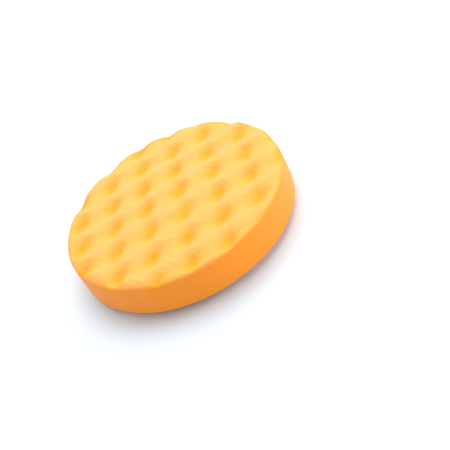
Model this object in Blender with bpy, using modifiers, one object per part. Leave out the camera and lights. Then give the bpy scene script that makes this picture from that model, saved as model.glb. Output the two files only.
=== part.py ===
"""A round foam polishing pad with a waffle working face and a loop-fabric backing.

The pad lies flat with its working face up, as it lies on a bench before it is pressed onto a
backing plate. The origin is the centre of the backing's outer face, and +Z runs from the
backing, through the foam, to the working face.

From the bottom up the pad is a laminate of four layers:
    loop_pile         nylon loops that a hook-faced backing plate grips
    backing_knit      the ground fabric that the loops stand on
    adhesive_film     hot-melt film that bonds the fabric to the foam
    waffle_foam_disc  open-cell foam, cut to an egg-crate face and a chamfered back
"""

import math

import bmesh
import bpy

# Driving dimensions, in metres.
PAD_RADIUS = 0.075
PAD_HEIGHT = 0.028
BACKING_RADIUS = 0.0705

# The layers of the backing, and the bond line left between touching layers.
PILE_THICKNESS = 0.0008
KNIT_THICKNESS = 0.0003
FILM_THICKNESS = 0.0003
FILM_INSET = 0.0003
BOND_GAP = 0.0003
LAYER_SOFTENING = 0.3  # the rounding of a layer's edges, as a share of its thickness

# The foam's outline: a short slope up from the backing's edge to a soft crest, then a wall that
# stands straight and draws in slightly towards the working face.
BACK_RADIUS = 0.0712
CREST_HEIGHT = 0.0051
WALL_TURN_HEIGHT = 0.0130
FACE_RADIUS = 0.0746
BACK_EDGE_ROUNDING = 0.0005
CREST_ROUNDING = 0.0022
WALL_TURN_ROUNDING = 0.1500

# The waffle: dimples in straight rows, each row set a little to the side of the last. The face
# sinks a little all along a row, a little along the lines that join the rows' dimples, and most
# where the two meet. Each dimple is a leaning oval, narrower than the ridges round it.
DIMPLE_PITCH = 0.0238
ROW_SPACING = 0.0228
ROW_SHIFT = 0.0044
WAFFLE_DEPTH = 0.0031
ROW_SHARE = 0.45
LINE_SHARE = 0.17
ROW_NARROWING = 0.75
DIMPLE_NARROWING = 1.6
DIMPLE_SHARPNESS = 1.5
DIMPLE_LEAN = 0.30
FIRST_DIMPLE = (0.0060, 0.0016)

# How finely the round and wavy shapes are divided.
TURNING_STEPS = 96
FOAM_ARC_STEPS = 3
LAYER_ARC_STEPS = 1
WAFFLE_CELLS = 50

# The cutter and the uncut foam reach this far past the finished foam.
CUTTING_MARGIN = 0.004
MERGE_DISTANCE = 0.00001

COLLECTION_NAME = "polishing_pad"
CUTTER_COLLECTION_NAME = "cutters"


def clear_scene():
    """Removes whatever the scene holds."""
    for thing in list(bpy.data.objects):
        bpy.data.objects.remove(thing, do_unlink=True)


def new_collection(name):
    """A new collection, linked to the scene."""
    collection = bpy.data.collections.new(name)
    bpy.context.scene.collection.children.link(collection)
    return collection


def new_material(name, color, roughness, metallic=0.0):
    """A Principled material with one colour."""
    material = bpy.data.materials.new(name)
    material.use_nodes = True
    shader = material.node_tree.nodes["Principled BSDF"]
    shader.inputs["Base Color"].default_value = (*color, 1.0)
    shader.inputs["Roughness"].default_value = roughness
    shader.inputs["Metallic"].default_value = metallic
    material.diffuse_color = (*color, 1.0)
    return material


def toward(start, end, distance):
    """The point at a distance from start, on the way to end."""
    run = math.dist(start, end)
    return tuple(a + (b - a) * distance / run for a, b in zip(start, end))


def rounded_corner(before, corner, after, radius, steps):
    """The arc that rounds one corner of a profile."""
    to_before = math.atan2(before[1] - corner[1], before[0] - corner[0])
    to_after = math.atan2(after[1] - corner[1], after[0] - corner[0])
    opening = abs((to_after - to_before + math.pi) % (2 * math.pi) - math.pi)
    tangent_length = radius / math.tan(opening / 2)
    arc_start = toward(corner, before, tangent_length)
    arc_end = toward(corner, after, tangent_length)
    middle = tuple((a + b) / 2 for a, b in zip(arc_start, arc_end))
    centre = toward(corner, middle, radius / math.sin(opening / 2))
    first = math.atan2(arc_start[1] - centre[1], arc_start[0] - centre[0])
    last = math.atan2(arc_end[1] - centre[1], arc_end[0] - centre[0])
    turn = (last - first + math.pi) % (2 * math.pi) - math.pi
    angles = [first + turn * step / steps for step in range(steps + 1)]
    return [(centre[0] + radius * math.cos(a), centre[1] + radius * math.sin(a)) for a in angles]


def rounded_profile(corners, arc_steps):
    """The points of a profile, from (radius, height, rounding) corners."""
    places = [(radius, height) for radius, height, _ in corners]
    points = [places[0]]
    for index in range(1, len(corners) - 1):
        rounding = corners[index][2]
        if rounding > 0:
            before, corner, after = places[index - 1 : index + 2]
            points += rounded_corner(before, corner, after, rounding, arc_steps)
        else:
            points.append(places[index])
    points.append(places[-1])
    return points


def turned_object(name, profile, collection, material):
    """A solid turned round the Z axis from a profile that runs down its outer side."""
    mesh = bpy.data.meshes.new(name)
    vertices = [(radius, 0.0, height) for radius, height in profile]
    edges = [(index, index + 1) for index in range(len(profile) - 1)]
    mesh.from_pydata(vertices, edges, [])
    mesh.materials.append(material)
    turned = bpy.data.objects.new(name, mesh)
    collection.objects.link(turned)
    screw = turned.modifiers.new("turn", "SCREW")
    screw.axis = "Z"
    screw.steps = TURNING_STEPS
    screw.render_steps = TURNING_STEPS
    screw.use_merge_vertices = True
    screw.merge_threshold = MERGE_DISTANCE
    screw.use_smooth_shade = True
    return turned


def layer_disc(name, bottom, thickness, radius, collection, material):
    """One flat round layer of the backing, with softened edges."""
    top = bottom + thickness
    softening = thickness * LAYER_SOFTENING
    profile = rounded_profile(
        [
            (0.0, top, 0.0),
            (radius, top, softening),
            (radius, bottom, softening),
            (0.0, bottom, 0.0),
        ],
        LAYER_ARC_STEPS,
    )
    return turned_object(name, profile, collection, material)


def waffle_height(x, y):
    """The height of the working face: full at the peaks, a waffle depth lower in the dimples."""
    row = (y - FIRST_DIMPLE[1]) / ROW_SPACING
    place = (x - FIRST_DIMPLE[0] - row * ROW_SHIFT) / DIMPLE_PITCH
    row_turn = 2 * math.pi * row
    place_turn = 2 * math.pi * place - DIMPLE_LEAN * math.sin(row_turn)
    near_row = ((1 + math.cos(row_turn)) / 2) ** ROW_NARROWING
    near_line = ((1 + math.cos(place_turn)) / 2) ** DIMPLE_NARROWING
    near_both = near_row * near_line
    both_share = 1 - ROW_SHARE - LINE_SHARE
    nearness = ROW_SHARE * near_row + LINE_SHARE * near_line + both_share * near_both
    return PAD_HEIGHT - WAFFLE_DEPTH * nearness**DIMPLE_SHARPNESS


def waffle_cutter(collection):
    """The space above the working face, which is cut from the uncut foam."""
    name = "waffle_cutter"
    half_width = PAD_RADIUS + CUTTING_MARGIN
    cutter_mesh = bmesh.new()
    bmesh.ops.create_grid(
        cutter_mesh, x_segments=WAFFLE_CELLS, y_segments=WAFFLE_CELLS, size=half_width
    )
    wavy_faces = list(cutter_mesh.faces)
    lifted = bmesh.ops.extrude_face_region(cutter_mesh, geom=wavy_faces)["geom"]
    top_vertices = {item for item in lifted if isinstance(item, bmesh.types.BMVert)}
    for vertex in cutter_mesh.verts:
        if vertex in top_vertices:
            vertex.co.z = PAD_HEIGHT + 2 * CUTTING_MARGIN
        else:
            vertex.co.z = waffle_height(vertex.co.x, vertex.co.y)
    bmesh.ops.recalc_face_normals(cutter_mesh, faces=cutter_mesh.faces)
    mesh = bpy.data.meshes.new(name)
    cutter_mesh.to_mesh(mesh)
    cutter_mesh.free()
    cutter = bpy.data.objects.new(name, mesh)
    collection.objects.link(cutter)
    cutter.display_type = "WIRE"
    cutter.hide_render = True
    return cutter


def foam_disc(bottom, parts, cutters):
    """The foam: a turned blank with a chamfered back, cut to the waffle face."""
    blank_top = PAD_HEIGHT + CUTTING_MARGIN
    profile = rounded_profile(
        [
            (0.0, blank_top, 0.0),
            (FACE_RADIUS, blank_top, 0.0),
            (PAD_RADIUS, WALL_TURN_HEIGHT, WALL_TURN_ROUNDING),
            (PAD_RADIUS, CREST_HEIGHT, CREST_ROUNDING),
            (BACK_RADIUS, bottom, BACK_EDGE_ROUNDING),
            (0.0, bottom, 0.0),
        ],
        FOAM_ARC_STEPS,
    )
    material = new_material("polishing_foam", (0.93, 0.34, 0.03), 0.9)
    foam = turned_object("waffle_foam_disc", profile, parts, material)
    cut = foam.modifiers.new("waffle", "BOOLEAN")
    cut.operation = "DIFFERENCE"
    cut.solver = "EXACT"
    cut.object = waffle_cutter(cutters)
    return foam


def backing(parts):
    """The loop fabric and its adhesive, from the bottom up. Returns the height it reaches."""
    pile_material = new_material("loop_pile", (0.86, 0.82, 0.81), 0.85)
    knit_material = new_material("backing_knit", (0.80, 0.76, 0.75), 0.8)
    film_material = new_material("adhesive_film", (0.55, 0.19, 0.05), 0.4)
    layers = [
        ("loop_pile", PILE_THICKNESS, BACKING_RADIUS, pile_material),
        ("backing_knit", KNIT_THICKNESS, BACKING_RADIUS, knit_material),
        ("adhesive_film", FILM_THICKNESS, BACKING_RADIUS - FILM_INSET, film_material),
    ]
    height = 0.0
    for name, thickness, radius, material in layers:
        layer_disc(name, height, thickness, radius, parts, material)
        height += thickness + BOND_GAP
    return height


def main():
    """Builds the pad."""
    clear_scene()
    parts = new_collection(COLLECTION_NAME)
    cutters = new_collection(CUTTER_COLLECTION_NAME)
    foam_bottom = backing(parts)
    foam_disc(foam_bottom, parts, cutters)


main()
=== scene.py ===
"""The looks of a waffle-faced foam polishing pad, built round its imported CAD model.

The pad lies on its loop backing with the working face up. Every piece takes its place and size
from the CAD node that it stands for.
"""

import math

import bpy
import numpy as np
from mathutils import Matrix, Vector


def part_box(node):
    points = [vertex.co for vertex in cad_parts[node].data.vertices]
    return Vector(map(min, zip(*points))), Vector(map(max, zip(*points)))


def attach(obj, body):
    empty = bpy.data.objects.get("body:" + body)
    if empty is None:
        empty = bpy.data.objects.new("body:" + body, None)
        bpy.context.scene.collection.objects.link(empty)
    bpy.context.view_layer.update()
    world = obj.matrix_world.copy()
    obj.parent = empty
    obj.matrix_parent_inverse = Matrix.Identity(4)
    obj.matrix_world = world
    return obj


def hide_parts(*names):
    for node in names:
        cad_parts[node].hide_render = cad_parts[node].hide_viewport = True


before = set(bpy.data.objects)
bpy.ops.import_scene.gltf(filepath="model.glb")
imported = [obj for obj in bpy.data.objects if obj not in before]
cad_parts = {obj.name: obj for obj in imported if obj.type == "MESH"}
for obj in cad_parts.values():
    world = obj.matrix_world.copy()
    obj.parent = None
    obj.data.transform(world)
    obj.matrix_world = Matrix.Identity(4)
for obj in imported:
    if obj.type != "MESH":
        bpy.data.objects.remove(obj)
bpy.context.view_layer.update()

BODY = "root"
MM = 0.001

# The waffle, as the CAD part cuts it: straight rows of dimples, each row a little to the side.
DIMPLE_PITCH = 23.8 * MM
ROW_SPACING = 22.8 * MM
ROW_SHIFT = 4.4 * MM
WAFFLE_DEPTH = 3.1 * MM
ROW_SHARE = 0.45
LINE_SHARE = 0.17
ROW_NARROWING = 0.75
DIMPLE_NARROWING = 1.6
DIMPLE_SHARPNESS = 1.5
DIMPLE_LEAN = 0.3
FIRST_DIMPLE = (6.0 * MM, 1.6 * MM)

# How far the real foam strays from its pattern. Each ripple is a length and a height.
DEPTH_VARIATION = 0.06
DIMPLE_STRAY = 0.35 * MM
DIMPLE_STRAY_LENGTH = 60 * MM
SURFACE_RIPPLES = ((9.0 * MM, 0.07 * MM), (3.2 * MM, 0.035 * MM))
RIM_STRAY = 0.12 * MM

# One side of the rim, at this angle from +X in degrees, is pressed down below the peaks.
WORN_DEPTH = 2.5 * MM
WORN_WIDTH = 7 * MM
WORN_SIDE = -130
WORN_NARROWING = 1.5
WORN_BLEND = 3

# The foam's outline.
FACE_RADIUS = 74.6 * MM
RIM_ROUNDING = 1.3 * MM
WALL_TURN_HEIGHT = 13.0 * MM
WALL_TURN_SOFTNESS = 1.5
CREST_HEIGHT = 5.1 * MM
BACK_RADIUS = 71.2 * MM
CREST_ROUNDING = 2.2 * MM
BACK_EDGE_ROUNDING = 0.5 * MM
BACK_FLAT_SHARE = 0.97  # where the flat back's outermost ring of points lies

# How finely the foam is divided.
FACE_CELLS = 224
RIM_STEPS = 4
WALL_STEPS = 32
ARC_STEPS = 5
BACK_EDGE_STEPS = 2

# The random fields: how many waves each adds up, how their lengths spread, and their seeds.
WAVES = 24
WAVE_LENGTH_SPREAD = (0.7, 1.4)
SEED_STRAY_X = 11
SEED_STRAY_Y = 12
SEED_DEPTH = 13
SEED_SURFACE = 21
SEED_RIM = 24
SEED_BEAD = 31
SEED_BEAD_DETAIL = 32
SEED_KNIT_EDGE = 41
SEED_KNIT_WAVES = 42
SEED_LOOPS = 51

# The hot-melt film fills the bond lines, and its squeezed-out bead shows round the backing.
FILM_OVERFILL = 0.27 * MM
FILM_UNDERFILL = 0.19 * MM
FILM_RING_SHARES = (0.5, 0.9)
BEAD_REACH = 0.30 * MM
BEAD_REACH_LIMITS = (0.05 * MM, 0.6 * MM)
BEAD_STRAY = 0.10 * MM
BEAD_STRAY_LENGTH = 6 * MM
BEAD_DETAIL_LENGTH = 2 * MM
BEAD_STEPS = 6
ROUND_STEPS = 540

# The ground fabric: a thin knit, gently quilted, with a slightly ragged cut edge.
KNIT_CELLS = 200
KNIT_OVERFILL = 0.09 * MM
KNIT_UNDERFILL = 0.03 * MM
KNIT_QUILTING = 0.05 * MM
KNIT_QUILT_LENGTH = 3.4 * MM
KNIT_WAVE_LENGTH = 7 * MM
KNIT_EDGE_STRAY = 0.10 * MM
KNIT_EDGE_STRAY_LENGTH = 5 * MM
KNIT_EDGE_NARROWING = 8

# The loops: small arches of yarn in staggered rows.
LOOP_PITCH = 1.56 * MM
LOOP_STRAY = 0.30 * MM
LOOP_EDGE_MARGIN = 0.55 * MM
LOOP_SPREAD = 0.62 * MM
LOOP_SPREAD_RANGE = (0.75, 1.2)
LOOP_HEIGHT_RANGE = (0.82, 1.0)
LOOP_SQUARENESS = 0.7
LOOP_NAP = 0.35 * MM
LOOP_NAP_SPREAD = 0.6
LOOP_YARN_RADIUS = 0.17 * MM
LOOP_POINTS = 5
YARN_SIDES = 3

# The foam's colours, and how strongly its pores darken it. The peak colour is partly the foam's
# own yellow-orange and partly a painted sheen; the dimple and wall colours are painted shade, a
# deeper orange.
FOAM_FACE_AND_SHEEN = (0.95, 0.390, 0.090, 1.0)
FOAM_DIMPLE_SHADE = (0.95, 0.322, 0.0, 1.0)
FOAM_WALL_SHADE = (0.98, 0.308, 0.026, 1.0)
FOAM_BLOTCH = (0.97, 0.98, 0.99, 1.0)
FOAM_BLOTCH_LENGTH = 14 * MM
LARGE_PORE = (0.86, 0.76, 0.60, 1.0)
LARGE_PORE_LENGTH = 0.95 * MM
LARGE_PORE_DARKNESS = 0.55
SMALL_PORE = (0.90, 0.80, 0.66, 1.0)
SMALL_PORE_LENGTH = 0.45 * MM
SMALL_PORE_DARKNESS = 0.45

# The colours of the film and the backing.
FILM_DARK = (0.50, 0.15, 0.035, 1.0)
FILM_LIGHT = (0.66, 0.25, 0.07, 1.0)
KNIT_DARK = (0.80, 0.735, 0.73, 1.0)
KNIT_LIGHT = (0.87, 0.81, 0.80, 1.0)
KNIT_SHADE = (0.55, 0.48, 0.47, 1.0)
YARN_DARK = (0.87, 0.80, 0.80, 1.0)
YARN_LIGHT = (0.92, 0.86, 0.86, 1.0)
YARN_SHADE = (0.6, 0.5, 0.5, 1.0)
SHADE_SHARE = 0.12
KNIT_RIB = 0.9 * MM
KNIT_COURSE = 0.7 * MM
FIBRE_LENGTH = 0.16 * MM

# Most of a noise texture's values lie in this span.
NOISE_SPAN = (0.3, 0.7)

# The camera looks down at a point beside the pad, and rolls so that the pad leans in the frame.
CAMERA_AZIMUTH = -1.56
CAMERA_ELEVATION = 37.76
CAMERA_ROLL = -29.33
CAMERA_DISTANCE = 486 * MM
CAMERA_RIGHT = 29.66 * MM
CAMERA_UP = -9.37 * MM
CAMERA_TARGET_HEIGHT = 15.6 * MM
CAMERA_LENS = 60.77
CAMERA_SENSOR = 36.0

# The floor's colour is a little cool, because the pad throws orange light on it.
FLOOR_COLOR = (0.68, 0.76, 0.83, 1.0)
FLOOR_ROUGHNESS = 0.9
FLOOR_RADIUS = 1.0
FLOOR_FADE_START = 0.25
FLOOR_STEPS = 96

# The light that the studio gives, and how bright it looks to the camera.
STUDIO_LEVEL = 0.75
STUDIO_SEEN_LEVEL = 1.0


def box_of(node):
    """The radius, lowest point and highest point of a round CAD node."""
    low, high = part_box(node)
    return (high.x - low.x) / 2, low.z, high.z


# ---------------------------------------------------------------- shapes


def disc_points(cells):
    """A square grid of points, bent so that its sides lie on the unit circle."""
    side = np.linspace(-1.0, 1.0, cells + 1)
    a, b = np.meshgrid(side, side)
    wide = np.abs(a) > np.abs(b)
    safe_a = np.where(a == 0, 1.0, a)
    safe_b = np.where(b == 0, 1.0, b)
    angle = np.where(wide, math.pi / 4 * b / safe_a, math.pi / 2 - math.pi / 4 * a / safe_b)
    radius = np.where(wide, a, b)
    return (radius * np.cos(angle)).ravel(), (radius * np.sin(angle)).ravel()


def grid_faces(cells):
    """The quads of a square grid of points, row by row, facing up."""
    row, column = np.meshgrid(np.arange(cells), np.arange(cells), indexing="ij")
    first = (row * (cells + 1) + column).ravel()
    return np.stack([first, first + 1, first + cells + 2, first + cells + 1], axis=1)


def grid_rim(cells):
    """The grid's points round its edge, anticlockwise from above."""
    last = cells
    steps = np.arange(cells)
    across = cells + 1
    return np.concatenate(
        [steps, steps * across + last, last * across + last - steps, (last - steps) * across]
    )


def ring_at(angles, reach, height):
    """A ring of points round the Z axis. Its reach and height may change along it."""
    level = np.full_like(angles, height)
    return np.stack([reach * np.cos(angles), reach * np.sin(angles), level], axis=1)


def ring_faces(upper, lower):
    """The quads between two rings of points, one above the other."""
    return np.stack([upper, lower, np.roll(lower, -1), np.roll(upper, -1)], axis=1)


def rounded_corner(before, corner, after, radius, steps):
    """The arc that rounds one corner of an outline."""
    before, corner, after = (np.array(p, float) for p in (before, corner, after))
    to_before = (before - corner) / np.linalg.norm(before - corner)
    to_after = (after - corner) / np.linalg.norm(after - corner)
    half = math.acos(float(np.clip(to_before @ to_after, -1, 1))) / 2
    middle = (to_before + to_after) / np.linalg.norm(to_before + to_after)
    centre = corner + middle * radius / math.sin(half)
    start = corner + to_before * radius / math.tan(half) - centre
    end = corner + to_after * radius / math.tan(half) - centre
    turn = math.pi - 2 * half
    points = []
    for step in range(steps + 1):
        share = step / steps
        mix = start * math.sin((1 - share) * turn) + end * math.sin(share * turn)
        points.append(centre + mix / math.sin(turn))
    return points


def ripple(points, length, seed):
    """A soft random field with no seams: waves of about one length in random directions."""
    random = np.random.default_rng(seed)
    directions = random.normal(size=(WAVES, 3))
    directions /= np.linalg.norm(directions, axis=1)[:, None]
    lengths = length * random.uniform(*WAVE_LENGTH_SPREAD, WAVES)
    phases = random.uniform(0, 2 * math.pi, WAVES)
    turns = 2 * math.pi * points @ (directions / lengths[:, None]).T + phases
    return np.sin(turns).sum(axis=1) * math.sqrt(2 / WAVES)


def new_piece(name, vertices, faces, material):
    """A smooth mesh object from arrays of points and faces."""
    mesh = bpy.data.meshes.new(name)
    mesh.from_pydata(vertices.tolist(), [], faces)
    mesh.materials.append(material)
    mesh.shade_smooth()
    mesh.update()
    piece = bpy.data.objects.new(name, mesh)
    bpy.context.scene.collection.objects.link(piece)
    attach(piece, BODY)
    return piece


def closed_down(points, faces, upper, rings, middle):
    """Adds rings of points down from a rim, and closes the last one round a middle point."""
    count = sum(len(p) for p in points)
    for ring in rings:
        lower = count + np.arange(len(ring))
        faces += ring_faces(upper, lower).tolist()
        points.append(ring)
        count += len(ring)
        upper = lower
    points.append(np.array([middle]))
    faces += [[int(a), count, int(b)] for a, b in zip(upper, np.roll(upper, -1))]


# ---------------------------------------------------------------- foam


def nearness(x, y):
    """How near a place on the working face is to a dimple's middle: 1 there, 0 on a peak."""
    flat = np.stack([x, y, np.zeros_like(x)], axis=1)
    x = x + DIMPLE_STRAY * ripple(flat, DIMPLE_STRAY_LENGTH, SEED_STRAY_X)
    y = y + DIMPLE_STRAY * ripple(flat, DIMPLE_STRAY_LENGTH, SEED_STRAY_Y)
    row = (y - FIRST_DIMPLE[1]) / ROW_SPACING
    place = (x - FIRST_DIMPLE[0] - row * ROW_SHIFT) / DIMPLE_PITCH
    along = 2 * np.pi * row
    across = 2 * np.pi * place - DIMPLE_LEAN * np.sin(along)
    near_row = ((1 + np.cos(along)) / 2) ** ROW_NARROWING
    near_line = ((1 + np.cos(across)) / 2) ** DIMPLE_NARROWING
    both_share = 1 - ROW_SHARE - LINE_SHARE
    return ROW_SHARE * near_row + LINE_SHARE * near_line + both_share * near_row * near_line


def worn_rim(x, y):
    """How far the rim is pressed below the peaks at a place."""
    near_rim = np.clip((np.hypot(x, y) - FACE_RADIUS) / WORN_WIDTH + 1, 0, 1) ** 2
    near_side = (1 + np.cos(np.arctan2(y, x) - math.radians(WORN_SIDE))) / 2
    return WORN_DEPTH * near_rim * near_side**WORN_NARROWING


def waffle_height(x, y, top):
    """The height of the working face: full at the peaks, lower in the dimples and the worn rim."""
    flat = np.stack([x, y, np.zeros_like(x)], axis=1)
    stray = DEPTH_VARIATION * ripple(flat, DIMPLE_STRAY_LENGTH, SEED_DEPTH)
    sunk = WAFFLE_DEPTH * (1 + stray) * nearness(x, y) ** DIMPLE_SHARPNESS
    return top - (sunk**WORN_BLEND + worn_rim(x, y) ** WORN_BLEND) ** (1 / WORN_BLEND)


def wall_radius(height, radius, top):
    """The radius of the side wall at a height: straight below, and drawn in towards the face."""
    rise = np.clip((height - WALL_TURN_HEIGHT) / (top - WALL_TURN_HEIGHT), 0, 1)
    return radius - (radius - FACE_RADIUS) * rise**WALL_TURN_SOFTNESS


def rim_rings(top, angles):
    """The rings of points that round the rim, following the waffle."""
    rings = []
    for step in range(1, RIM_STEPS + 1):
        turn = math.pi / 2 * step / RIM_STEPS
        reach = FACE_RADIUS - RIM_ROUNDING + RIM_ROUNDING * math.sin(turn)
        surface = waffle_height(reach * np.cos(angles), reach * np.sin(angles), top)
        rings.append(ring_at(angles, reach, surface - RIM_ROUNDING * (1 - math.cos(turn))))
    return rings


def back_outline(radius, bottom, top):
    """The (radius, height) points from the wall's foot, over the crest, to the flat back."""
    crest = rounded_corner(
        (radius, top), (radius, CREST_HEIGHT), (BACK_RADIUS, bottom), CREST_ROUNDING, ARC_STEPS
    )
    edge = rounded_corner(
        (radius, CREST_HEIGHT),
        (BACK_RADIUS, bottom),
        (0, bottom),
        BACK_EDGE_ROUNDING,
        BACK_EDGE_STEPS,
    )
    slope_middle = (crest[-1] + edge[0]) / 2
    return [*crest, slope_middle, *edge, (BACK_RADIUS * BACK_FLAT_SHARE, bottom)]


def foam_rings(radius, bottom, top, angles):
    """The rings of points down the foam's side: the rim, the wall, the crest and the back."""
    rings = rim_rings(top, angles)
    outline = back_outline(radius, bottom, top)
    wall_top = rings[-1][:, 2]
    wall_bottom = outline[0][1]
    for step in range(1, WALL_STEPS):
        height = wall_top + (wall_bottom - wall_top) * step / WALL_STEPS
        rings.append(ring_at(angles, wall_radius(height, radius, top), height))
    return rings + [ring_at(angles, reach, height) for reach, height in outline]


def roughened(points, bottom, top):
    """Foam points moved a little off their pattern, and kept inside the foam's cylinder."""
    flat_reach = np.hypot(points[:, 0], points[:, 1])
    face_share = np.clip((FACE_RADIUS - flat_reach) / RIM_ROUNDING, 0, 1)
    face_share *= points[:, 2] > (top + bottom) / 2
    wall_share = np.clip((flat_reach - BACK_RADIUS) / RIM_ROUNDING, 0, 1)
    lift = np.zeros(len(points))
    for index, (length, height) in enumerate(SURFACE_RIPPLES):
        lift += height * ripple(points, length, SEED_SURFACE + index)
    rim_lift = RIM_STRAY * ripple(points, DIMPLE_PITCH, SEED_RIM)
    scale = 1 + wall_share * np.minimum(lift + rim_lift, 0) / np.maximum(flat_reach, MM)
    moved = points.copy()
    moved[:, :2] *= scale[:, None]
    moved[:, 2] = np.clip(moved[:, 2] + lift * face_share, bottom, top)
    return moved


def mark_foam(foam, shape, face_count, rim_count):
    """Writes, for the foam's painted shade and sheen, how sunken each point is and whether it is
    on the wall.
    """
    sunken = nearness(shape[:, 0], shape[:, 1]) ** DIMPLE_SHARPNESS
    rings_out = (np.arange(len(shape)) - face_count) // rim_count + 1
    # The mask for the wall's painted shade, which comes in over the rim's rings.
    wall_shade = np.clip(rings_out / RIM_STEPS, 0, 1)
    for name, values in (("sunken", sunken), ("wall_shade", wall_shade)):
        attribute = foam.data.attributes.new(name, "FLOAT", "POINT")
        attribute.data.foreach_set("value", values.astype(np.float32))


def foam_piece(material):
    """The foam: a fine waffle face with a soft rim, its wall, its crest and its flat back."""
    radius, bottom, top = box_of("waffle_foam_disc")
    unit_x, unit_y = disc_points(FACE_CELLS)
    inner = FACE_RADIUS - RIM_ROUNDING
    x, y = unit_x * inner, unit_y * inner
    points = [np.stack([x, y, waffle_height(x, y, top)], axis=1)]
    faces = grid_faces(FACE_CELLS).tolist()
    rim = grid_rim(FACE_CELLS)
    rings = foam_rings(radius, bottom, top, np.arctan2(y[rim], x[rim]))
    closed_down(points, faces, rim, rings, (0.0, 0.0, bottom))
    shape = np.concatenate(points)
    foam = new_piece("waffle_foam", roughened(shape, bottom, top), faces, material)
    mark_foam(foam, shape, len(x), len(rim))
    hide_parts("waffle_foam_disc")


# ---------------------------------------------------------------- backing


def bead_rings(angles, radius, low, high):
    """The rings of points round the film's bulging bead, from its top to its bottom."""
    edge = ring_at(angles, radius, low)
    stray = BEAD_STRAY * ripple(edge, BEAD_STRAY_LENGTH, SEED_BEAD)
    stray = stray + BEAD_STRAY * ripple(edge, BEAD_DETAIL_LENGTH, SEED_BEAD_DETAIL) / 2
    bead = np.clip(BEAD_REACH + stray, *BEAD_REACH_LIMITS)
    middle, half = (low + high) / 2, (high - low) / 2
    rings = []
    for step in range(BEAD_STEPS + 1):
        turn = math.pi * (0.5 - step / BEAD_STEPS)
        reach = radius - BEAD_REACH / 2 + bead * math.cos(turn)
        rings.append(ring_at(angles, reach, middle + half * math.sin(turn)))
    return rings


def film_piece(material):
    """The hot-melt film, with an uneven bead squeezed out round its edge."""
    radius, low, high = box_of("adhesive_film")
    low, high = low - FILM_UNDERFILL, high + FILM_OVERFILL
    angles = np.arange(ROUND_STEPS) * 2 * math.pi / ROUND_STEPS
    rings = [ring_at(angles, share * radius, high) for share in FILM_RING_SHARES]
    rings += bead_rings(angles, radius, low, high)
    rings += [ring_at(angles, share * radius, low) for share in reversed(FILM_RING_SHARES)]
    points = [np.array([[0.0, 0.0, high]]), rings[0]]
    upper = 1 + np.arange(ROUND_STEPS)
    faces = [[0, int(a), int(b)] for a, b in zip(upper, np.roll(upper, -1))]
    closed_down(points, faces, upper, rings[1:], (0.0, 0.0, low))
    film = new_piece("hot_melt_film", np.concatenate(points), faces, material)
    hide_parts("adhesive_film")


def knit_levels():
    """The lowest and highest points of the ground fabric, which fills its bond lines."""
    _, low, high = box_of("backing_knit")
    return low - KNIT_UNDERFILL, high + KNIT_OVERFILL


def knit_piece(material):
    """The ground fabric: a thin cloth whose underside is quilted by the knitting."""
    radius, _, _ = box_of("backing_knit")
    low, high = knit_levels()
    unit_x, unit_y = disc_points(KNIT_CELLS)
    cut_shape = np.stack([unit_x, unit_y, np.zeros_like(unit_x)], axis=1) * radius
    edge = np.hypot(unit_x, unit_y) ** KNIT_EDGE_NARROWING
    ragged = KNIT_EDGE_STRAY * ripple(cut_shape, KNIT_EDGE_STRAY_LENGTH, SEED_KNIT_EDGE)
    reach = radius + ragged * edge - KNIT_EDGE_STRAY
    x, y = unit_x * reach, unit_y * reach
    turns = 2 * math.pi / KNIT_QUILT_LENGTH
    quilt = np.sin(x * turns) * np.sin(y * turns)
    quilt = quilt + ripple(cut_shape, KNIT_WAVE_LENGTH, SEED_KNIT_WAVES) / 2
    underside = low + KNIT_QUILTING * (1 + quilt) * (1 - edge)
    upper = np.stack([x, y, np.full_like(x, high)], axis=1)
    lower = np.stack([x, y, underside], axis=1)
    rim = grid_rim(KNIT_CELLS)
    count = len(x)
    faces = grid_faces(KNIT_CELLS).tolist()
    faces += (grid_faces(KNIT_CELLS)[:, ::-1] + count).tolist()
    faces += ring_faces(rim, rim + count).tolist()
    knit = new_piece("knit_ground", np.concatenate([upper, lower]), faces, material)
    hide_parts("backing_knit")
    return knit


def loop_places(reach, random):
    """The feet of the loops: staggered rows, each place moved a little at random."""
    row_step = LOOP_PITCH * math.sqrt(3) / 2
    rows = int(reach / row_step) + 1
    columns = int(reach / LOOP_PITCH) + 1
    row, column = np.meshgrid(np.arange(-rows, rows + 1), np.arange(-columns, columns + 1))
    x = (column + (row % 2) / 2).ravel() * LOOP_PITCH
    y = row.ravel() * row_step
    x = x + random.uniform(-LOOP_STRAY, LOOP_STRAY, len(x))
    y = y + random.uniform(-LOOP_STRAY, LOOP_STRAY, len(y))
    inside = np.hypot(x, y) < reach - LOOP_EDGE_MARGIN
    return x[inside], y[inside]


def flat_directions(angles):
    """The level directions at some angles from +X."""
    return np.stack([np.cos(angles), np.sin(angles), np.zeros(len(angles))], axis=1)


def loop_lines(radius, ground, root):
    """The middle line of each loop's yarn, and the direction that the loop spans."""
    random = np.random.default_rng(SEED_LOOPS)
    x, y = loop_places(radius, random)
    count = len(x)
    facing = random.uniform(0, math.pi, count)
    lean_way = random.normal(0, LOOP_NAP_SPREAD, count)
    spread = LOOP_SPREAD * random.uniform(*LOOP_SPREAD_RANGE, count)
    tall = (root - ground - LOOP_YARN_RADIUS) * random.uniform(*LOOP_HEIGHT_RANGE, count)
    along = flat_directions(facing)
    lean = LOOP_NAP * flat_directions(lean_way)
    feet = np.stack([x, y, np.full(count, root)], axis=1)
    turn = np.linspace(0, math.pi, LOOP_POINTS)
    rise = np.sin(turn) ** LOOP_SQUARENESS
    line = feet[:, None, :] - np.cos(turn)[None, :, None] * (along * spread[:, None])[:, None, :]
    line = line + rise[None, :, None] * lean[:, None, :]
    line[:, :, 2] -= rise[None, :] * tall[:, None]
    return line, along


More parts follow.
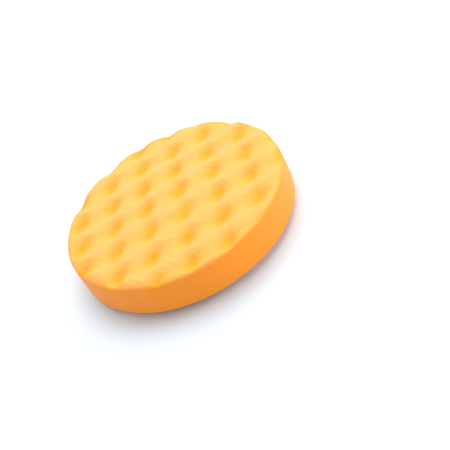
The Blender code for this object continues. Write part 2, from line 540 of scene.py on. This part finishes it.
def yarn_points(line, along):
    """The points round each loop's yarn."""
    way = np.gradient(line, axis=1)
    way /= np.linalg.norm(way, axis=2)[:, :, None]
    side = np.cross(way, np.cross(along, [0, 0, 1])[:, None, :])
    side /= np.linalg.norm(side, axis=2)[:, :, None]
    other = np.cross(way, side)
    sides = np.arange(YARN_SIDES) * 2 * math.pi / YARN_SIDES
    ring = side[:, :, None, :] * np.cos(sides)[None, None, :, None]
    ring = ring + other[:, :, None, :] * np.sin(sides)[None, None, :, None]
    return (line[:, :, None, :] + LOOP_YARN_RADIUS * ring).reshape(-1, 3)


def yarn_faces(count):
    """The faces of every loop's yarn: a tube with a cap at each end."""
    each = LOOP_POINTS * YARN_SIDES
    tube = []
    for step in range(LOOP_POINTS - 1):
        here = step * YARN_SIDES + np.arange(YARN_SIDES)
        there = here + YARN_SIDES
        tube += np.stack([here, np.roll(here, -1), np.roll(there, -1), there], axis=1).tolist()
    first_cap = np.arange(YARN_SIDES)[::-1]
    last_cap = np.arange(each - YARN_SIDES, each)
    starts = np.arange(count)[:, None, None] * each
    faces = (starts + np.array(tube)[None]).reshape(-1, 4).tolist()
    faces += (starts + np.stack([first_cap, last_cap])[None]).reshape(-1, YARN_SIDES).tolist()
    return faces


def pile_piece(material):
    """The loop pile: small arches of yarn that stand on the ground fabric."""
    radius, ground, _ = box_of("loop_pile")
    root = knit_levels()[0] + 2 * KNIT_QUILTING
    line, along = loop_lines(radius, ground, root)
    points = yarn_points(line, along)
    points[:, 2] = np.maximum(points[:, 2], ground)
    pile = new_piece("nylon_loops", points, yarn_faces(len(line)), material)
    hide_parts("loop_pile")
    return pile


# ---------------------------------------------------------------- materials


def principled(name):
    """A new material, with its node tree and its Principled shader."""
    material = bpy.data.materials.new(name)
    material.use_nodes = True
    tree = material.node_tree
    return material, tree, tree.nodes["Principled BSDF"]


def fill_socket(tree, socket, value):
    """Links a socket to another, or gives it a plain value."""
    if isinstance(value, bpy.types.NodeSocket):
        tree.links.new(value, socket)
    else:
        socket.default_value = value


def add_node(tree, kind, settings=None, **inputs):
    """A node of a kind, with its settings and its inputs' values or links."""
    node = tree.nodes.new(kind)
    for key, value in (settings or {}).items():
        setattr(node, key, value)
    for key, value in inputs.items():
        fill_socket(tree, node.inputs[key.replace("_", " ")], value)
    return node


def mixed(tree, share, first, second, blend="MIX"):
    """The colour between two colours or links."""
    node = tree.nodes.new("ShaderNodeMix")
    node.data_type = "RGBA"
    node.blend_type = blend
    factor, first_color, second_color = (node.inputs[index] for index in (0, 6, 7))
    fill_socket(tree, factor, share)
    fill_socket(tree, first_color, first)
    fill_socket(tree, second_color, second)
    return node.outputs[2]


def ranged(tree, value, low, high, to_low, to_high):
    """A value taken from one range to another, and held inside it."""
    node = add_node(
        tree,
        "ShaderNodeMapRange",
        {"clamp": True},
        Value=value,
        From_Min=low,
        From_Max=high,
        To_Min=to_low,
        To_Max=to_high,
    )
    return node.outputs["Result"]


def stretched(tree, value, to_low=0.0, to_high=1.0):
    """A noise value, stretched to a whole range."""
    return ranged(tree, value, *NOISE_SPAN, to_low, to_high)


def object_place(tree):
    """The place on the piece, in its own coordinates."""
    return add_node(tree, "ShaderNodeTexCoord").outputs["Object"]


def marked(tree, name):
    """A value that the mesh carries."""
    return add_node(tree, "ShaderNodeAttribute", {"attribute_name": name}).outputs["Fac"]


def noise(tree, place, length, detail):
    """Soft noise whose blotches are about one length across."""
    node = add_node(
        tree, "ShaderNodeTexNoise", None, Vector=place, Scale=1 / length, Detail=detail
    )
    return node.outputs["Fac"]


def pores(tree, place, length):
    """The distance from the middle of each cell of the foam, as a share of a cell."""
    node = add_node(
        tree, "ShaderNodeTexVoronoi", {"feature": "F1"}, Vector=place, Scale=1 / length
    )
    return node.outputs["Distance"]


def stripes(tree, place, direction, width):
    """Slightly wavy stripes of one width, across the X or Y axis."""
    node = add_node(
        tree,
        "ShaderNodeTexWave",
        {"bands_direction": direction},
        Vector=place,
        Scale=1 / (width * math.pi * 2),
        Distortion=1.2,
        Detail=1.0,
    )
    return node.outputs["Fac"]


def bumped(tree, height, strength, distance, before=None):
    """A bump from a height, on top of an earlier one."""
    node = add_node(
        tree, "ShaderNodeBump", None, Height=height, Strength=strength, Distance=distance
    )
    if before is not None:
        tree.links.new(before, node.inputs["Normal"])
    return node.outputs["Normal"]


def finish_look(tree, shader, color, rough, normal):
    """Gives the shader its colour, roughness and bumps."""
    tree.links.new(color, shader.inputs["Base Color"])
    tree.links.new(rough, shader.inputs["Roughness"])
    tree.links.new(normal, shader.inputs["Normal"])


def foam_material():
    """Open-cell foam with a painted sheen on the peaks, and painted shade as a deeper orange in
    the dimples and on the side wall.
    """
    material, tree, shader = principled("foam_look")
    place = object_place(tree)
    # Painted sheen and shade: the pale peak colour goes to a deeper orange in the dimples, by
    # depth.
    color = mixed(tree, marked(tree, "sunken"), FOAM_FACE_AND_SHEEN, FOAM_DIMPLE_SHADE)
    # Painted shade on the side wall: a deeper orange from the rim down.
    color = mixed(tree, marked(tree, "wall_shade"), color, FOAM_WALL_SHADE)
    blotches = stretched(tree, noise(tree, place, FOAM_BLOTCH_LENGTH, 3.0))
    color = mixed(tree, blotches, color, FOAM_BLOTCH, "MULTIPLY")
    large = pores(tree, place, LARGE_PORE_LENGTH)
    small = pores(tree, place, SMALL_PORE_LENGTH)
    dark = ranged(tree, large, 0.05, 0.42, LARGE_PORE_DARKNESS, 0.0)
    color = mixed(tree, dark, color, LARGE_PORE, "MULTIPLY")
    dark = ranged(tree, small, 0.05, 0.40, SMALL_PORE_DARKNESS, 0.0)
    color = mixed(tree, dark, color, SMALL_PORE, "MULTIPLY")
    rough = stretched(tree, noise(tree, place, 2.2 * MM, 2.0), 0.42, 0.50)
    normal = bumped(tree, noise(tree, place, 3.0 * MM, 4.0), 0.25, 0.4 * MM)
    normal = bumped(tree, large, 0.35, 0.20 * MM, normal)
    normal = bumped(tree, small, 0.35, 0.10 * MM, normal)
    finish_look(tree, shader, color, rough, normal)
    shader.inputs["Specular IOR Level"].default_value = 0.12
    shader.inputs["Sheen Weight"].default_value = 0.03
    return material


def film_material():
    """Set hot-melt: amber, half glossy and slightly lumpy."""
    material, tree, shader = principled("film_look")
    place = object_place(tree)
    patches = stretched(tree, noise(tree, place, 3.0 * MM, 3.0))
    color = mixed(tree, patches, FILM_DARK, FILM_LIGHT)
    rough = stretched(tree, noise(tree, place, 1.2 * MM, 2.0), 0.28, 0.5)
    normal = bumped(tree, noise(tree, place, 0.9 * MM, 3.0), 0.4, 0.15 * MM)
    finish_look(tree, shader, color, rough, normal)
    return material


def knit_material():
    """A white warp knit: fine ribs one way and courses the other."""
    material, tree, shader = principled("knit_look")
    place = object_place(tree)
    ribs = stripes(tree, place, "X", KNIT_RIB)
    courses = stripes(tree, place, "Y", KNIT_COURSE)
    patches = noise(tree, place, 9 * MM, 3.0)
    color = mixed(tree, patches, KNIT_DARK, KNIT_LIGHT)
    color = mixed(tree, ribs, mixed(tree, SHADE_SHARE, color, KNIT_SHADE), color)
    rough = stretched(tree, patches, 0.75, 0.9)
    normal = bumped(tree, ribs, 0.5, 0.12 * MM)
    normal = bumped(tree, courses, 0.35, 0.08 * MM, normal)
    finish_look(tree, shader, color, rough, normal)
    shader.inputs["Sheen Weight"].default_value = 0.15
    return material


def pile_material():
    """Soft white nylon yarn with a faint pink cast and a twist of fine filaments."""
    material, tree, shader = principled("pile_look")
    place = object_place(tree)
    patches = stretched(tree, noise(tree, place, 11 * MM, 3.0))
    color = mixed(tree, patches, YARN_DARK, YARN_LIGHT)
    fibres = noise(tree, place, FIBRE_LENGTH, 2.0)
    color = mixed(tree, fibres, mixed(tree, SHADE_SHARE, color, YARN_SHADE), color)
    rough = stretched(tree, fibres, 0.5, 0.7)
    normal = bumped(tree, fibres, 0.4, 0.05 * MM)
    finish_look(tree, shader, color, rough, normal)
    shader.inputs["Sheen Weight"].default_value = 0.2
    return material


# ---------------------------------------------------------------- stage


def outward(azimuth, elevation):
    """The direction out from the pad at an azimuth and an elevation. Azimuth 0 is along -Y."""
    azimuth, elevation = math.radians(azimuth), math.radians(elevation)
    level = math.cos(elevation)
    return Vector(
        (math.sin(azimuth) * level, -math.cos(azimuth) * level, math.sin(elevation))
    )


def place_camera():
    """The camera, at its distance from the target and moved sideways to frame the pad."""
    azimuth, roll = math.radians(CAMERA_AZIMUTH), math.radians(CAMERA_ROLL)
    back = outward(CAMERA_AZIMUTH, CAMERA_ELEVATION)
    level_right = Vector((math.cos(azimuth), math.sin(azimuth), 0))
    level_up = back.cross(level_right)
    right = level_right * math.cos(roll) + level_up * math.sin(roll)
    up = level_up * math.cos(roll) - level_right * math.sin(roll)
    target = Vector((0, 0, CAMERA_TARGET_HEIGHT))
    place = target + back * CAMERA_DISTANCE + right * CAMERA_RIGHT + up * CAMERA_UP
    data = bpy.data.cameras.new("camera")
    data.lens = CAMERA_LENS
    data.sensor_width = CAMERA_SENSOR
    camera = bpy.data.objects.new("camera", data)
    bpy.context.scene.collection.objects.link(camera)
    axes = Matrix((right, up, back)).transposed().to_4x4()
    camera.matrix_world = Matrix.Translation(place) @ axes
    bpy.context.scene.camera = camera


def floor_material():
    """A matt pale floor that fades out with distance and can't be seen from below."""
    material, tree, shader = principled("floor_look")
    shader.inputs["Base Color"].default_value = FLOOR_COLOR
    shader.inputs["Roughness"].default_value = FLOOR_ROUGHNESS
    shader.inputs["Specular IOR Level"].default_value = 0.0
    length = add_node(tree, "ShaderNodeVectorMath", {"operation": "LENGTH"})
    tree.links.new(object_place(tree), length.inputs[0])
    fade = ranged(tree, length.outputs["Value"], FLOOR_FADE_START, FLOOR_RADIUS, 0.0, 1.0)
    beneath = add_node(tree, "ShaderNodeNewGeometry").outputs["Backfacing"]
    clear = add_node(tree, "ShaderNodeMath", {"operation": "MAXIMUM"})
    tree.links.new(fade, clear.inputs[0])
    tree.links.new(beneath, clear.inputs[1])
    mix = add_node(tree, "ShaderNodeMixShader", None, Fac=clear.outputs[0])
    tree.links.new(shader.outputs[0], mix.inputs[1])
    tree.links.new(add_node(tree, "ShaderNodeBsdfTransparent").outputs[0], mix.inputs[2])
    tree.links.new(mix.outputs[0], tree.nodes["Material Output"].inputs["Surface"])
    return material


def make_floor():
    """A plain round floor."""
    mesh = bpy.data.meshes.new("floor")
    angles = np.arange(FLOOR_STEPS) * 2 * math.pi / FLOOR_STEPS
    edge = [(FLOOR_RADIUS * math.cos(a), FLOOR_RADIUS * math.sin(a), 0) for a in angles]
    mesh.from_pydata(edge, [], [list(range(FLOOR_STEPS))])
    mesh.materials.append(floor_material())
    floor = bpy.data.objects.new("floor", mesh)
    bpy.context.scene.collection.objects.link(floor)


def area_light(name, azimuth, elevation, distance, size, level):
    """A soft square light that adds that level of light to a white surface facing it."""
    out = outward(azimuth, elevation)
    data = bpy.data.lights.new(name, "AREA")
    data.size = size
    data.energy = level * (math.pi * distance) ** 2
    light = bpy.data.objects.new(name, data)
    light.location = out * distance
    light.rotation_mode = "QUATERNION"
    light.rotation_quaternion = out.to_track_quat("Z", "Y")
    bpy.context.scene.collection.objects.link(light)


def light_stage():
    """A white studio: even light from all round, a large light behind and a small one beside."""
    world = bpy.data.worlds.new("studio")
    world.use_nodes = True
    tree = world.node_tree
    background = tree.nodes["Background"]
    background.inputs["Color"].default_value = (1.0, 1.0, 1.0, 1.0)
    seen = add_node(tree, "ShaderNodeLightPath").outputs["Is Camera Ray"]
    strength = ranged(tree, seen, 0.0, 1.0, STUDIO_LEVEL, STUDIO_SEEN_LEVEL)
    tree.links.new(strength, background.inputs["Strength"])
    bpy.context.scene.world = world
    area_light("key", azimuth=158, elevation=56, distance=1.2, size=1.6, level=1.62)
    area_light("side", azimuth=75, elevation=14, distance=1.0, size=0.5, level=0.47)
    bpy.context.scene.view_settings.view_transform = "Standard"


# ---------------------------------------------------------------- the pad


place_camera()
light_stage()
make_floor()
foam_piece(foam_material())
film_piece(film_material())
knit = knit_piece(knit_material())
pile = pile_piece(pile_material())
